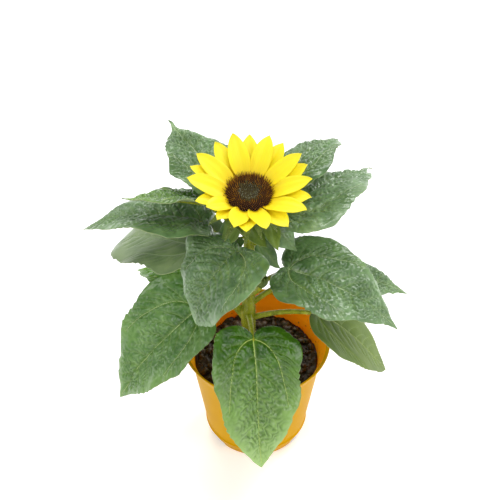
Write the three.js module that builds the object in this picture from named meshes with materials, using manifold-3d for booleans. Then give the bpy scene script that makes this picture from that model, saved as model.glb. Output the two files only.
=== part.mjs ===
// A dwarf sunflower in a round plastic grower's pot: one flower head on a short leafy stem.
// Millimetres, +Z up. The origin is the middle of the pot's underside, and -Y is the front.
// Every leaf, leaf stalk and ray petal is a solid of its own.
import * as THREE from "three";
import Module from "manifold-3d";
import { mergeVertices } from "three/addons/utils/BufferGeometryUtils.js";

const wasm = await Module();
wasm.setup();

// ---- Driving dimensions ----

const GAP = 0.3; // clearance between pieces that touch
const POT = {
  height: 100,
  rim: 60, // outer radius of the rolled rim
  neck: 53.5, // outer radius under the flared collar
  collar: 14, // height of the flared collar
  heel: 41, // outer radius above the chamfered foot
  heelHeight: 9,
  foot: 38, // outer radius of the ring it stands on
  wall: 1.5,
  notches: 6, // drain notches round the foot
  notchWidth: 19,
  notchHeight: 4,
  notchTurn: 33, // bearing of the first notch, degrees
};
const SOIL = { top: 80, mound: 3, lumps: 1.2 };
const STEM = {
  x: -6, // it stands a little left of the pot's middle
  base: 5, // radius above the root flare
  flare: 7,
  tip: 3.8,
  top: 243,
};
const HEAD = {
  height: 260, // middle of the disc's face
  tilt: 11, // the head nods towards the front, degrees
  disc: 18,
  cup: 17,
  bracts: 13,
  bractReach: 27,
};
const BLADE = 1.2; // thickness of a leaf blade
const STALK = { base: 2.3, tip: 1.7 };
const PETAL = 0.8; // thickness of a ray petal

// How a leaf is held: its stalk's rise above the level and how far that arches, then its blade's pitch where it
// starts and its droop from there to the tip. All in degrees.
const POSTURES = {
  hanging: { rise: 20, arch: 15, pitch: -35, droop: 30 },
  spreading: { rise: 35, arch: 10, pitch: -10, droop: 25 },
  arching: { rise: 45, arch: 10, pitch: 0, droop: 40 },
  nodding: { rise: 45, arch: 10, pitch: -10, droop: 80 },
  bowed: { rise: 35, arch: 5, pitch: 15, droop: 50 },
  raised: { rise: 35, arch: 5, pitch: 15, droop: 20 },
};
const BLADE_SHARE = 0.8; // a blade's width for each mm of its length, unless the leaf gives a width

// Leaves, from the lowest to the highest, in steps of 5 mm and 5 degrees. The stalk leaves the stem at a height, on a
// bearing (degrees from +X, anticlockwise from above), with a reach. The blade has its own bearing, rolls about its
// midrib (left side up is positive) and folds up along it.
const LEAVES = {
  right_low: {
    posture: "hanging", height: 125, stalk: 345, reach: 60,
    bearing: 0, roll: 0, fold: 5, length: 90,
  },
  back_left_low: {
    posture: "spreading", height: 120, stalk: 150, reach: 50,
    bearing: 145, roll: 10, fold: 10, length: 75,
  },
  front_low: {
    posture: "hanging", height: 130, stalk: 275, reach: 45,
    bearing: 275, roll: -25, fold: 10, length: 100,
  },
  left_low: {
    posture: "hanging", height: 135, stalk: 200, reach: 45,
    bearing: 200, roll: -15, fold: 20, length: 105,
  },
  right_back: {
    posture: "spreading", height: 140, stalk: 5, reach: 60,
    bearing: 5, roll: 0, fold: 5, length: 85, width: 60,
  },
  right_front: {
    posture: "arching", height: 155, stalk: 345, reach: 45,
    bearing: 340, roll: 0, fold: 10, length: 95, width: 80,
  },
  left_under: {
    posture: "spreading", height: 165, stalk: 165, reach: 50,
    bearing: 145, roll: -5, fold: 5, length: 90,
  },
  front: {
    posture: "nodding", height: 195, stalk: 250, reach: 35,
    bearing: 220, roll: 15, fold: 5, length: 70, width: 95,
  },
  left: {
    posture: "bowed", height: 185, stalk: 155, reach: 50,
    bearing: 175, roll: 15, fold: 10, length: 95,
  },
  back: {
    posture: "spreading", height: 200, stalk: 90, reach: 40,
    bearing: 95, roll: 0, fold: 10, length: 85, width: 60,
  },
  right: {
    posture: "bowed", height: 205, stalk: 20, reach: 35,
    bearing: 45, roll: -20, fold: 0, length: 105,
  },
  left_back: {
    posture: "raised", height: 210, stalk: 160, reach: 45,
    bearing: 185, roll: 30, fold: 10, length: 60, width: 60,
  },
  back_left: {
    posture: "raised", height: 220, stalk: 130, reach: 40,
    bearing: 125, roll: 5, fold: 5, length: 75,
  },
  back_right: {
    posture: "bowed", height: 220, stalk: 40, reach: 45,
    bearing: 60, roll: -25, fold: 5, length: 80,
  },
};

// Two young leaves close under the head. Each is one piece with its short stalk.
const YOUNG_LEAVES = {
  young_leaf_front: {
    posture: "spreading", height: 225, stalk: 250, reach: 10,
    bearing: 310, roll: 0, fold: 15, length: 25,
  },
  young_leaf_right: {
    posture: "spreading", height: 220, stalk: 335, reach: 20,
    bearing: 285, roll: 0, fold: 20, length: 25, width: 15,
  },
};

// Ray petals stand evenly round the disc, each swayed a little. They are short where they curl at the front left and
// long at the front right.
const PETALS = {
  count: 20,
  sway: 3, // degrees
  rise: 28, // above the disc's plane, degrees
  length: 31,
  width: 12.5,
  short: { bearing: 225, by: 10, spread: 30 },
  long: { bearing: 320, by: 6, spread: 15 },
};
const WHORL = { upper: -0.2, lower: -3.2, radius: 18.9 };

// ---- Finish: colour, roughness and metalness of each material ----

function finish(colour, roughness) {
  return new THREE.MeshStandardMaterial({ color: colour, roughness, metalness: 0 });
}
const MATERIALS = {
  pot: finish("#e3a32c", 0.4),
  soil: finish("#35201a", 0.95),
  stem: finish("#7d8a2f", 0.6),
  leaf: finish("#4f7a3c", 0.5),
  calyx: finish("#55692c", 0.65),
  petal: finish("#ffe81a", 0.5),
  disc: finish("#3f1d12", 0.9),
};

const radians = THREE.MathUtils.degToRad;

// ---- Solids from plain lists of faces ----

// A closed geometry from a list of points and triangles. Triangles that have shrunk to a line are left out.
function closedGeometry(points, triangles) {
  const key = (p) => p.toArray().map((x) => Math.round(x * 1000)).join();
  const keys = points.map(key);
  const kept = triangles.filter(([a, b, c]) => keys[a] !== keys[b] && keys[b] !== keys[c] && keys[c] !== keys[a]);
  const geometry = new THREE.BufferGeometry().setFromPoints(points);
  geometry.setIndex(kept.flat());
  return mergeVertices(geometry, 1e-3);
}

function solidOf(geometry) {
  const bare = new THREE.BufferGeometry().setAttribute("position", geometry.getAttribute("position"));
  if (geometry.index) bare.setIndex(geometry.index);
  const merged = mergeVertices(bare, 1e-3);
  return new wasm.Manifold(
    new wasm.Mesh({
      numProp: 3,
      vertProperties: new Float32Array(merged.attributes.position.array),
      triVerts: new Uint32Array(merged.index.array),
    }),
  );
}

function geometryOf(solid) {
  const mesh = solid.getMesh();
  return new THREE.BufferGeometry()
    .setAttribute("position", new THREE.BufferAttribute(new Float32Array(mesh.vertProperties), 3))
    .setIndex(new THREE.BufferAttribute(new Uint32Array(mesh.triVerts), 1));
}

// What is left of a piece once its neighbours are cut away, without the scraps beyond them.
function cutClear(geometry, cutters) {
  let solid = solidOf(geometry);
  for (const cutter of cutters) solid = solid.subtract(solidOf(cutter));
  const bodies = solid.decompose();
  return geometryOf(bodies.reduce((a, b) => (b.volume() > a.volume() ? b : a)));
}

// ---- Limbs: round, tapering and closed ----

function limb(curve, radiusAt, rings, sides) {
  const tube = new THREE.TubeGeometry(curve, rings, 1, sides, false).getAttribute("position");
  const points = [];
  for (let ring = 0; ring <= rings; ring++) {
    const middle = curve.getPointAt(ring / rings);
    for (let side = 0; side < sides; side++) {
      const outward = new THREE.Vector3().fromBufferAttribute(tube, ring * (sides + 1) + side).sub(middle);
      points.push(middle.clone().addScaledVector(outward, radiusAt(ring / rings)));
    }
  }
  const triangles = [];
  for (let ring = 0; ring < rings; ring++)
    for (let side = 0; side < sides; side++) {
      const a = ring * sides + side;
      const b = ring * sides + ((side + 1) % sides);
      triangles.push([a, a + sides, b], [b, a + sides, b + sides]);
    }
  const foot = points.push(curve.getPointAt(0)) - 1;
  const end = points.push(curve.getPointAt(1)) - 1;
  for (let side = 0; side < sides; side++) {
    const next = (side + 1) % sides;
    triangles.push([foot, side, next], [end, rings * sides + next, rings * sides + side]);
  }
  return facingOut(points, triangles);
}

// TubeGeometry winds its rings either way round, so the volume's sign says which way the faces point.
function facingOut(points, triangles) {
  const volume = triangles.reduce((sum, [a, b, c]) => {
    return sum + points[a].dot(new THREE.Vector3().crossVectors(points[b], points[c]));
  }, 0);
  return closedGeometry(points, volume < 0 ? triangles.map(([a, b, c]) => [a, c, b]) : triangles);
}

// ---- Blades: leaves and petals ----

// Half of a heart-shaped leaf outline. s runs along the midrib from the stalk (0) to the tip (1), and w is the
// half width, both in shares of the length and the width. The first curve is the lobe beside the stalk.
function leafOutline() {
  const widest = new THREE.Vector2(0.22, 0.5);
  const lobeCurve = new THREE.CubicBezierCurve(
    new THREE.Vector2(0, 0),
    new THREE.Vector2(-0.16, 0.03),
    new THREE.Vector2(-0.16, 0.5),
    widest,
  );
  const flankCurve = new THREE.CubicBezierCurve(
    widest,
    new THREE.Vector2(0.52, 0.5),
    new THREE.Vector2(0.82, 0.09),
    new THREE.Vector2(1, 0),
  );
  return (q) => (q < 0.5 ? lobeCurve.getPoint(q * 2) : flankCurve.getPoint(q * 2 - 1));
}

function petalOutline() {
  const edge = new THREE.CubicBezierCurve(
    new THREE.Vector2(0, 0.2),
    new THREE.Vector2(0.3, 0.66),
    new THREE.Vector2(0.82, 0.6),
    new THREE.Vector2(1, 0),
  );
  return (q) => edge.getPoint(q);
}

// Where a point of the flat blade lies once the blade is in place, and which way is up there.
function placeOnBlade(start, blade, s, w) {
  const { bearing, pitch, droop, roll, fold, length, width } = blade;
  const along = Math.max(s, 0);
  const pitch0 = radians(pitch);
  const bend = radians(droop || 0.01);
  const pitchHere = pitch0 - bend * along;
  const forward = (length * (Math.sin(pitch0) - Math.sin(pitchHere))) / bend;
  const up = (length * (Math.cos(pitchHere) - Math.cos(pitch0))) / bend;
  const turn = radians(bearing);
  const tangent = new THREE.Vector3(
    Math.cos(turn) * Math.cos(pitchHere),
    Math.sin(turn) * Math.cos(pitchHere),
    Math.sin(pitchHere),
  );
  const leftward = new THREE.Vector3(-Math.sin(turn), Math.cos(turn), 0).applyAxisAngle(tangent, radians(roll));
  const normal = new THREE.Vector3().crossVectors(tangent, leftward);
  const point = start
    .clone()
    .add(new THREE.Vector3(Math.cos(turn) * forward, Math.sin(turn) * forward, up))
    .addScaledVector(tangent, Math.min(s, 0) * length)
    .addScaledVector(leftward, w * width * Math.cos(radians(fold)))
    .addScaledVector(normal, Math.abs(w) * width * Math.sin(radians(fold)));
  return { point, normal };
}

// A blade of even thickness. Its rows run from the midrib out to the outline, leaning forward like side veins.
function bladeGeometry(start, blade, outline, { rows, columns, lean, thickness }) {
  const faces = [[], []];
  const ratio = blade.width / blade.length;
  for (let row = 0; row <= rows; row++) {
    const edge = outline(row / rows);
    const root = lean ? Math.max(0, edge.x - lean * edge.y * ratio) : edge.x;
    for (let column = -columns; column <= columns; column++) {
      const share = Math.abs(column) / columns;
      const s = root + (edge.x - root) * share;
      const w = edge.y * share * Math.sign(column);
      const { point, normal } = placeOnBlade(start, blade, s, w);
      faces[0].push(point.clone().addScaledVector(normal, thickness / 2));
      faces[1].push(point.clone().addScaledVector(normal, -thickness / 2));
    }
  }
  const across = 2 * columns + 1;
  const under = faces[0].length;
  const at = (row, column) => row * across + column;
  const triangles = [];
  const quad = (a, b, c, d) => triangles.push([a, b, c], [a, c, d]);
  const rimQuad = (a, b) => quad(b, a, a + under, b + under);
  for (let row = 0; row < rows; row++) {
    for (let column = 0; column < across - 1; column++) {
      const corners = [at(row, column), at(row + 1, column), at(row + 1, column + 1), at(row, column + 1)];
      quad(...corners);
      quad(...corners.map((i) => i + under).reverse());
    }
    rimQuad(at(row, 0), at(row + 1, 0));
    rimQuad(at(row + 1, across - 1), at(row, across - 1));
  }
  for (let column = 0; column < across - 1; column++) {
    rimQuad(at(0, column + 1), at(0, column));
    rimQuad(at(rows, column), at(rows, column + 1));
  }
  return closedGeometry([...faces[0], ...faces[1]], triangles);
}

// ---- The pot and the soil ----

function lathe(profile, segments) {
  const points = profile.map(([radius, height]) => new THREE.Vector2(radius, height));
  return new THREE.LatheGeometry(points, segments).rotateX(Math.PI / 2);
}

const potSides = 40;
const innerNeck = POT.neck - POT.wall;
const innerHeel = POT.heel - POT.wall;
const neckHeight = POT.height - POT.collar;

function potGeometry() {
  const { height, rim, neck, heel, heelHeight, foot, wall } = POT;
  const profile = [
    [0, 0],
    [foot, 0],
    [heel, heelHeight],
    [neck, neckHeight],
    [rim - 2, height - 3],
    [rim, height - 1.5],
    [rim - 0.6, height],
    [rim - wall - 0.8, height],
    [rim - 2 - wall, height - 3],
    [innerNeck, neckHeight],
    [innerHeel, heelHeight],
    [foot - wall, wall],
    [0, wall],
  ];
  let solid = solidOf(lathe(profile, potSides));
  for (let i = 0; i < POT.notches; i++) {
    const notch = new THREE.BoxGeometry(14, POT.notchWidth, 2 * POT.notchHeight);
    notch.translate(foot - 2, 0, 0).rotateZ(radians(POT.notchTurn + (360 / POT.notches) * i));
    solid = solid.subtract(solidOf(notch));
  }
  return geometryOf(solid);
}

// The inner wall's radius at a height, used to fit the soil inside it.
function innerRadius(z) {
  const share = (z - POT.heelHeight) / (neckHeight - POT.heelHeight);
  return innerHeel + (innerNeck - innerHeel) * Math.max(0, share);
}

function soilGeometry() {
  const top = SOIL.top;
  const gap = GAP + 0.2;
  const rings = [0.4, 0.6, 0.8, 1]; // it is level inside the first ring, where the stem stands
  const edge = innerRadius(top) - gap;
  const profile = [
    [0, POT.wall + gap],
    [POT.foot - POT.wall - gap - 1, POT.wall + gap],
    [innerHeel - gap, POT.heelHeight],
    [edge, top - 2],
    ...rings.reverse().map((share) => [edge * share, top + SOIL.mound * (1 - share ** 4)]),
    [0, top + SOIL.mound * (1 - 0.4 ** 4)],
  ];
  const geometry = lathe(profile, 36);
  const position = geometry.getAttribute("position");
  for (let i = 0; i < position.count; i++) {
    const [x, y, z] = [position.getX(i), position.getY(i), position.getZ(i)];
    const radius = Math.hypot(x, y);
    if (z < top - 1 || radius < edge * 0.41) continue;
    const bump = Math.sin(x * 0.31 + y * 0.17) + Math.sin(y * 0.37 - x * 0.11 + 1.3);
    const fade = Math.min(1, (edge - radius) / 6 + 0.3);
    position.setZ(i, z + SOIL.lumps * fade * (bump - 0.4));
  }
  return geometry;
}

// ---- The stem and the head ----

const headTurn = new THREE.Euler(radians(HEAD.tilt), 0, 0);
const headPlace = new THREE.Vector3(STEM.x, 0, HEAD.height);
const headAxis = new THREE.Vector3(0, 0, 1).applyEuler(headTurn);
const stemFoot = SOIL.top + SOIL.mound + GAP;

const stemCurve = new THREE.CatmullRomCurve3([
  new THREE.Vector3(STEM.x + 1, 0, stemFoot),
  new THREE.Vector3(STEM.x - 0.5, 0.5, 130),
  new THREE.Vector3(STEM.x + 0.5, 0.5, 190),
  headPlace.clone().addScaledVector(headAxis, STEM.top - HEAD.height - 14),
  headPlace.clone().addScaledVector(headAxis, STEM.top - HEAD.height),
]);

function stemRadius(share) {
  const flare = (STEM.flare - STEM.base) * Math.exp(-share * 14);
  const neck = 1.2 * Math.exp(-(1 - share) * 16);
  return STEM.base + (STEM.tip - STEM.base) * share + flare + neck;
}

// The stem's foot is cut flat on the soil.
function stemGeometry(extra = 0) {
  return limb(stemCurve, (share) => stemRadius(share) + extra, 11, 8);
}

// The green cup under the disc, in the head's own frame: +Z out of the disc's face.
function cupGeometry() {
  const top = -4 - GAP;
  return lathe(
    [
      [0, STEM.top - HEAD.height + GAP],
      [5.5, STEM.top - HEAD.height + GAP],
      [11, -13],
      [HEAD.cup, -8],
      [HEAD.cup, top],
      [0, top],
    ],
    2 * HEAD.bracts,
  );
}

// Pointed bracts round the cup's side, joined to it in one solid.
function bractsGeometry() {
  let solid = solidOf(cupGeometry());
  const tip = new THREE.Vector2(1, 0);
  const edge = new THREE.CubicBezierCurve(
    new THREE.Vector2(0, 0.3),
    new THREE.Vector2(0.35, 0.6),
    new THREE.Vector2(0.7, 0.35),
    tip,
  );
  for (let i = 0; i < HEAD.bracts; i++) {
    const bearing = (360 / HEAD.bracts) * i + 8;
    const turn = radians(bearing);
    const start = new THREE.Vector3(Math.cos(turn) * 10, Math.sin(turn) * 10, -11.5);
    const blade = { bearing, pitch: 8, droop: 24, roll: 0, fold: 6, length: HEAD.bractReach - 10, width: 8.6 };
    const bract = bladeGeometry(start, blade, (q) => edge.getPoint(q), {
      rows: 2,
      columns: 1,
      lean: 0,
      thickness: 1.2,
    });
    solid = solid.add(solidOf(bract));
  }
  return geometryOf(solid);
}

// A low dome with a dimple in the middle.
function discGeometry() {
  const r = HEAD.disc;
  return lathe(
    [
      [0, -4],
      [r - 2, -4],
      [r, -1.5],
      [r * 0.9, 1.8],
      [r * 0.65, 3],
      [r * 0.35, 1.6],
      [0, 0.8],
    ],
    26,
  );
}

// ---- Assembly ----

const plant = new THREE.Group();

function add(parent, name, geometry, material) {
  const mesh = new THREE.Mesh(geometry, material);
  mesh.name = name;
  parent.add(mesh);
}

add(plant, "pot", potGeometry(), MATERIALS.pot);
add(plant, "soil", soilGeometry(), MATERIALS.soil);
add(plant, "stem", stemGeometry(), MATERIALS.stem);

const leafRows = { rows: 8, columns: 3, lean: 0.6 };
const youngRows = { rows: 5, columns: 2, lean: 0.4 };
const roomyStem = stemGeometry(GAP);

// The blade of a leaf and the line of its stalk, which ends at the blade's base.
function leafParts(leaf) {
  const { rise, arch, pitch, droop } = POSTURES[leaf.posture];
  const from = stemCurve.getPointAt((leaf.height - stemFoot) / (STEM.top - stemFoot));
  const towards = (climb) => {
    const [turn, up] = [radians(leaf.stalk), radians(climb)];
    return new THREE.Vector3(Math.cos(turn) * Math.cos(up), Math.sin(turn) * Math.cos(up), Math.sin(up));
  };
  const start = from.clone().addScaledVector(towards(rise), leaf.reach);
  const shoulder = from.clone().addScaledVector(towards(rise + arch), leaf.reach * 0.55);
  const line = new THREE.QuadraticBezierCurve3(from, shoulder, start);
  const blade = { width: BLADE_SHARE * leaf.length, ...leaf, pitch, droop };
  const bladeOf = (rows, thickness) => bladeGeometry(start, blade, leafOutline(), { ...rows, thickness });
  return { line, bladeOf };
}

for (const [name, leaf] of Object.entries(LEAVES)) {
  const { line, bladeOf } = leafParts(leaf);
  const taper = (share) => STALK.base + (STALK.tip - STALK.base) * share;
  const stalk = cutClear(limb(line, taper, 5, 6), [roomyStem, bladeOf(leafRows, BLADE + 2 * GAP)]);
  add(plant, `stalk_${name}`, stalk, MATERIALS.stem);
  add(plant, `leaf_${name}`, bladeOf(leafRows, BLADE), MATERIALS.leaf);
}

for (const [name, leaf] of Object.entries(YOUNG_LEAVES)) {
  const { line, bladeOf } = leafParts(leaf);
  const stalk = limb(line, () => 1.1, 4, 6);
  const whole = solidOf(stalk).add(solidOf(bladeOf(youngRows, 1)));
  add(plant, name, cutClear(geometryOf(whole), [roomyStem]), MATERIALS.leaf);
}

const sideShoot = new THREE.LineCurve3(new THREE.Vector3(-4, -4, 152), new THREE.Vector3(5, -12, 181));
const budShape = (share) => 1.5 + 4 * Math.sin(Math.PI * Math.min(1, Math.max(0, share * 2 - 0.98))) ** 0.8;
add(plant, "side_bud", cutClear(limb(sideShoot, budShape, 8, 8), [roomyStem]), MATERIALS.calyx);

const head = new THREE.Group();
head.position.copy(headPlace);
head.rotation.copy(headTurn);
plant.add(head);
add(head, "calyx", bractsGeometry(), MATERIALS.calyx);
add(head, "flower_disc", discGeometry(), MATERIALS.disc);

// How much a bump centred on a bearing changes a petal's length, in mm.
function bump(bearing, { bearing: middle, by, spread }) {
  return by * Math.exp(-(((bearing - middle) / spread) ** 2));
}

for (let i = 0; i < PETALS.count; i += 1) {
  const bearing = (360 / PETALS.count) * i + PETALS.sway * Math.sin(i * i);
  const length = PETALS.length - bump(bearing, PETALS.short) + bump(bearing, PETALS.long);
  const turn = radians(bearing);
  const level = i % 2 ? WHORL.lower : WHORL.upper;
  const start = new THREE.Vector3(Math.cos(turn) * WHORL.radius, Math.sin(turn) * WHORL.radius, level);
  const pitch = PETALS.rise + 5;
  const blade = { bearing, pitch, droop: 10, roll: 0, fold: 4, length, width: PETALS.width };
  const rows = { rows: 6, columns: 1, lean: 0, thickness: PETAL };
  const name = `petal_${String(i + 1).padStart(2, "0")}`;
  add(head, name, bladeGeometry(start, blade, petalOutline(), rows), MATERIALS.petal);
}

export default plant;
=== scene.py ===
# %% [markdown]
# # A dwarf sunflower in a pot
# The plant stands in a round grower's pot of orange plastic. It has one nodding flower head, a short
# hairy stem, fourteen broad leaves and seven young ones. Each piece has about the place and size of the
# solid it stands for, because both follow the same rows. This lesson grows the surfaces: blades with
# sunken veins and puckers, grooved petals, a disc of small florets, ridged stalks with hairs, and crumbly
# soil.

# %% Load the frame
import math
import random
from collections import namedtuple

import bmesh
import bpy
import numpy as np
from mathutils import Matrix, Vector, noise


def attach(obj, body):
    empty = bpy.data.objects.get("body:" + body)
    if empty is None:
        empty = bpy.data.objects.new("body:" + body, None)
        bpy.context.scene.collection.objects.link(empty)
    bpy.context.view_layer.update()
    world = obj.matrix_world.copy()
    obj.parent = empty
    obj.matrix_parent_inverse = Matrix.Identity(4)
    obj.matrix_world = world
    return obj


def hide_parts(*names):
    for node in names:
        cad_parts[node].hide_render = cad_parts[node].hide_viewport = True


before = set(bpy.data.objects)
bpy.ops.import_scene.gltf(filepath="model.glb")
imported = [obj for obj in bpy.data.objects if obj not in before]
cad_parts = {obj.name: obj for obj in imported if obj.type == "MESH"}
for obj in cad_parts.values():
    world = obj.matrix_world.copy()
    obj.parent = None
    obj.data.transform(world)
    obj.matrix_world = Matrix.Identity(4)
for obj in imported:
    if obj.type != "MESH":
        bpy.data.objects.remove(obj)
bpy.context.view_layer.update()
NODE_NAMES = set(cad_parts)
MM = 0.001


# %% Helpers that make objects
def add_object(name, data):
    """A new object in the scene, made from a mesh, a curve, a lamp or a camera."""
    made = bpy.data.objects.new(name, data)
    bpy.context.collection.objects.link(made)
    return made


def to_mesh(name, shape):
    """A mesh from a bmesh, which is freed."""
    mesh = bpy.data.meshes.new(name)
    shape.to_mesh(mesh)
    shape.free()
    return mesh


def smooth_object(name, mesh, *materials):
    """A mesh object with smooth faces."""
    mesh.polygons.foreach_set("use_smooth", [True] * len(mesh.polygons))
    for material in materials:
        mesh.materials.append(material)
    return add_object(name, mesh)


def as_shown(thing):
    """A mesh of the object as it is shown, with its modifiers applied."""
    return bpy.data.meshes.new_from_object(thing.evaluated_get(bpy.context.evaluated_depsgraph_get()))


# %% [markdown]
# ## Camera, floor and light
# The camera looks down at 43 degrees from about 1.1 m with a long lens, so the pot's rim shows as a wide
# ellipse. The light is that of a bright, even studio: soft lamps stand all round, and the table is opal
# acrylic that glows a little. The waxy puckers of leaves that face every way each catch one of the lamps.

# %% The camera
LOOK_DOWN = math.radians(43)
LOOK_AT = Vector((-5.2, 0, 200.5)) * MM
CAMERA_DISTANCE = 1100 * MM
camera = add_object("camera", bpy.data.cameras.new("camera"))
camera.data.lens = 103.2
camera.location = LOOK_AT - CAMERA_DISTANCE * Vector((0, math.cos(LOOK_DOWN), -math.sin(LOOK_DOWN)))
camera.rotation_euler = (math.pi / 2 - LOOK_DOWN, 0, 0)
bpy.context.scene.camera = camera
print("camera at", [round(x, 3) for x in camera.location])


# %% Colours and nodes
def linear(code):
    """The linear colour that shaders use, from an sRGB hex code."""
    shares = [int(code[i : i + 2], 16) / 255 for i in (1, 3, 5)]
    return (*[x / 12.92 if x <= 0.04045 else ((x + 0.055) / 1.055) ** 2.4 for x in shares], 1.0)


def add_node(material, kind, inputs=(), **settings):
    """Adds a shader node. inputs gives each socket a value or the output it is linked to."""
    made = material.node_tree.nodes.new("ShaderNode" + kind)
    stops = settings.pop("stops", None)
    for name, value in settings.items():
        setattr(made, name, value)
    for place, (position, value) in enumerate(stops or ()):
        while len(made.color_ramp.elements) <= place:
            made.color_ramp.elements.new(1.0)
        made.color_ramp.elements[place].position = position
        made.color_ramp.elements[place].color = linear(value)
    for socket, value in dict(inputs).items():
        if isinstance(value, bpy.types.NodeSocket):
            material.node_tree.links.new(value, made.inputs[socket])
        else:
            made.inputs[socket].default_value = value
    return made


def new_material(name, **shader):
    """A material with one Principled shader, whose sockets get the values in shader."""
    made = bpy.data.materials.new(name)
    made.use_nodes = True
    principled = made.node_tree.nodes["Principled BSDF"]
    for socket, value in shader.items():
        principled.inputs[socket.replace("_", " ").title().replace("Ior", "IOR")].default_value = value
    return made, principled


def ramp(material, share, *stops):
    """A colour that follows a share through stops of (share, hex code)."""
    return add_node(material, "ValToRGB", {0: share}, stops=stops).outputs[0]


def mixed(material, share, first, second, **settings):
    """A colour between two. The share is that of the second."""
    inputs = {0: share, 6: first, 7: second}
    return add_node(material, "Mix", inputs, data_type="RGBA", **settings).outputs[2]


def noise_field(material, where, scale, detail):
    """Soft noise from 0 to 1."""
    return add_node(material, "TexNoise", {"Vector": where, "Scale": scale, "Detail": detail}).outputs[0]


def mark(material, name):
    """A sheet's point value."""
    return add_node(material, "Attribute", attribute_name=name).outputs["Fac"]


def scaled(material, value, by):
    """A value multiplied and held between 0 and 1."""
    return add_node(material, "Math", {0: value, 1: by}, operation="MULTIPLY", use_clamp=True).outputs[0]


def dress(material, shader, colour, relief, strength, depth, **settings):
    """Links a colour and a bump, whose depth is in mm, to a material's shader."""
    heights = {"Height": relief, "Strength": strength, "Distance": depth * MM}
    bumps = add_node(material, "Bump", heights, **settings)
    material.node_tree.links.new(colour, shader.inputs["Base Color"])
    material.node_tree.links.new(bumps.outputs[0], shader.inputs["Normal"])


print("orange in linear light:", [round(x, 3) for x in linear("#E3A32C")[:3]])

# %% The floor and the lamps
WHITE = linear("#FFFFFF")
table = bmesh.new()
bmesh.ops.create_grid(table, x_segments=2, y_segments=2, size=4)
floor = add_object("floor", to_mesh("floor", table))
# Opal acrylic, lit a little from below, as on a light table. It keeps the surroundings white.
opal_acrylic, _ = new_material(
    "opal_acrylic_table", base_color=WHITE, roughness=0.9, emission_color=WHITE, emission_strength=0.25
)
floor.data.materials.append(opal_acrylic)

room = bpy.data.worlds.new("bright_room")
room.use_nodes = True
room.node_tree.nodes["Background"].inputs["Color"].default_value = WHITE
room.node_tree.nodes["Background"].inputs["Strength"].default_value = 0.42
bpy.context.scene.world = room
bpy.context.scene.view_settings.view_transform = "Standard"
SOFTBOX_SIZE = 0.7  # metres


def add_lamp(name, place, power):
    """A square soft lamp that faces the flower. Its place is in metres and its power in watts."""
    lamp = add_object(name, bpy.data.lights.new(name, "AREA"))
    lamp.data.size = SOFTBOX_SIZE
    lamp.data.energy = power
    lamp.location = place
    lamp.rotation_euler = (LOOK_AT - lamp.location).to_track_quat("-Z", "Y").to_euler()


add_lamp("left_softbox", (-1.45, -0.2, 1.0), 6)
add_lamp("right_softbox", (1.3, -0.7, 0.9), 6)
add_lamp("front_softbox", (-0.35, -1.3, 1.25), 7)
add_lamp("rear_right_softbox", (0.9, 1.0, 1.3), 13)
add_lamp("rear_softbox", (-0.4, 1.3, 1.45), 11)
add_lamp("overhead_softbox", (0.5, -0.35, 1.9), 9)

# %% [markdown]
# ## Sheets
# Leaves, petals, bracts, stalks, the soil and the buds are all sheets at first. Each starts as a flat
# grid, whose points carry two numbers: u along the piece and v across it. A function then says where each
# point goes. A tube is a sheet whose long edges meet, so its seam is welded. Working this way, one
# outline and one relief serve every leaf.


# %% A grid that takes a shape
def make_sheet(name, rows, columns, place, materials, **marks):
    """A mesh object from a grid. place(u, v) returns each point in mm, and u is 0 to 1 and v is -1 to 1.

    marks are point values the materials read by name. A mark of two numbers becomes a UV map."""
    flat = bmesh.new()
    bmesh.ops.create_grid(flat, x_segments=rows, y_segments=columns, size=1)
    mesh = to_mesh(name, flat)
    count = len(mesh.vertices)
    points = np.empty(count * 3)
    mesh.vertices.foreach_get("co", points)
    u, v = (points.reshape(-1, 3)[:, 0] + 1) / 2, points.reshape(-1, 3)[:, 1]
    placed = np.asarray(place(u, v), float)
    mesh.vertices.foreach_set("co", (placed * MM).ravel())
    for mark, values in marks.items():
        values = np.asarray(values(u, v), float)
        if values.ndim == 2:
            corners = np.empty(len(mesh.loops), int)
            mesh.loops.foreach_get("vertex_index", corners)
            mesh.uv_layers.new(name=mark).data.foreach_set("uv", values[corners].ravel())
        else:
            mesh.attributes.new(mark, "FLOAT", "POINT").data.foreach_set("value", values)
    welded = bmesh.new()
    welded.from_mesh(mesh)
    bmesh.ops.remove_doubles(welded, verts=welded.verts, dist=0.01 * MM)
    bmesh.ops.dissolve_degenerate(welded, edges=welded.edges, dist=0.001 * MM)
    welded.to_mesh(mesh)
    welded.free()
    return smooth_object(name, mesh, *materials)


def stand_for(piece, slot, *nodes):
    """Hangs a finished piece on the frame, in place of the solids it stands for."""
    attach(piece, "root")
    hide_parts(*nodes)


def unit(vectors):
    """The vectors at length 1."""
    return vectors / np.maximum(np.linalg.norm(vectors, axis=-1, keepdims=True), 1e-9)


def along_line(line, spot):
    """Points on a line of points. A spot counts points from the first, and may lie between two."""
    return np.stack([np.interp(spot, np.arange(len(line)), column) for column in line.T], -1)


def bezier(t, a, b, c, d):
    """A curve from a to d, which b and c pull on."""
    return (1 - t) ** 3 * a + 3 * (1 - t) ** 2 * t * b + 3 * (1 - t) * t * t * c + t**3 * d


def ripple(x, y, size, seed):
    """Smooth unevenness between about -1 and 1, with swells of the given size in mm."""
    chance = random.Random(seed)
    total = 0
    for _ in range(5):
        turn = chance.uniform(0, math.tau)
        phase = chance.uniform(0, math.tau)
        swell = size * chance.uniform(0.7, 1.5)
        total = total + np.sin((x * math.cos(turn) + y * math.sin(turn)) * math.tau / swell + phase)
    return total / 3


def cells(x, y, size, seed):
    """0 on the borders of irregular cells of the given size in mm, and about 1 in their middles."""
    out = []
    for a, b in zip(x / size, y / size):
        near, far = noise.voronoi(Vector((a, b, seed * 7.3)))[0][:2]
        out.append(far - near)
    return np.minimum(np.array(out) * 1.6, 1)


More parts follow.
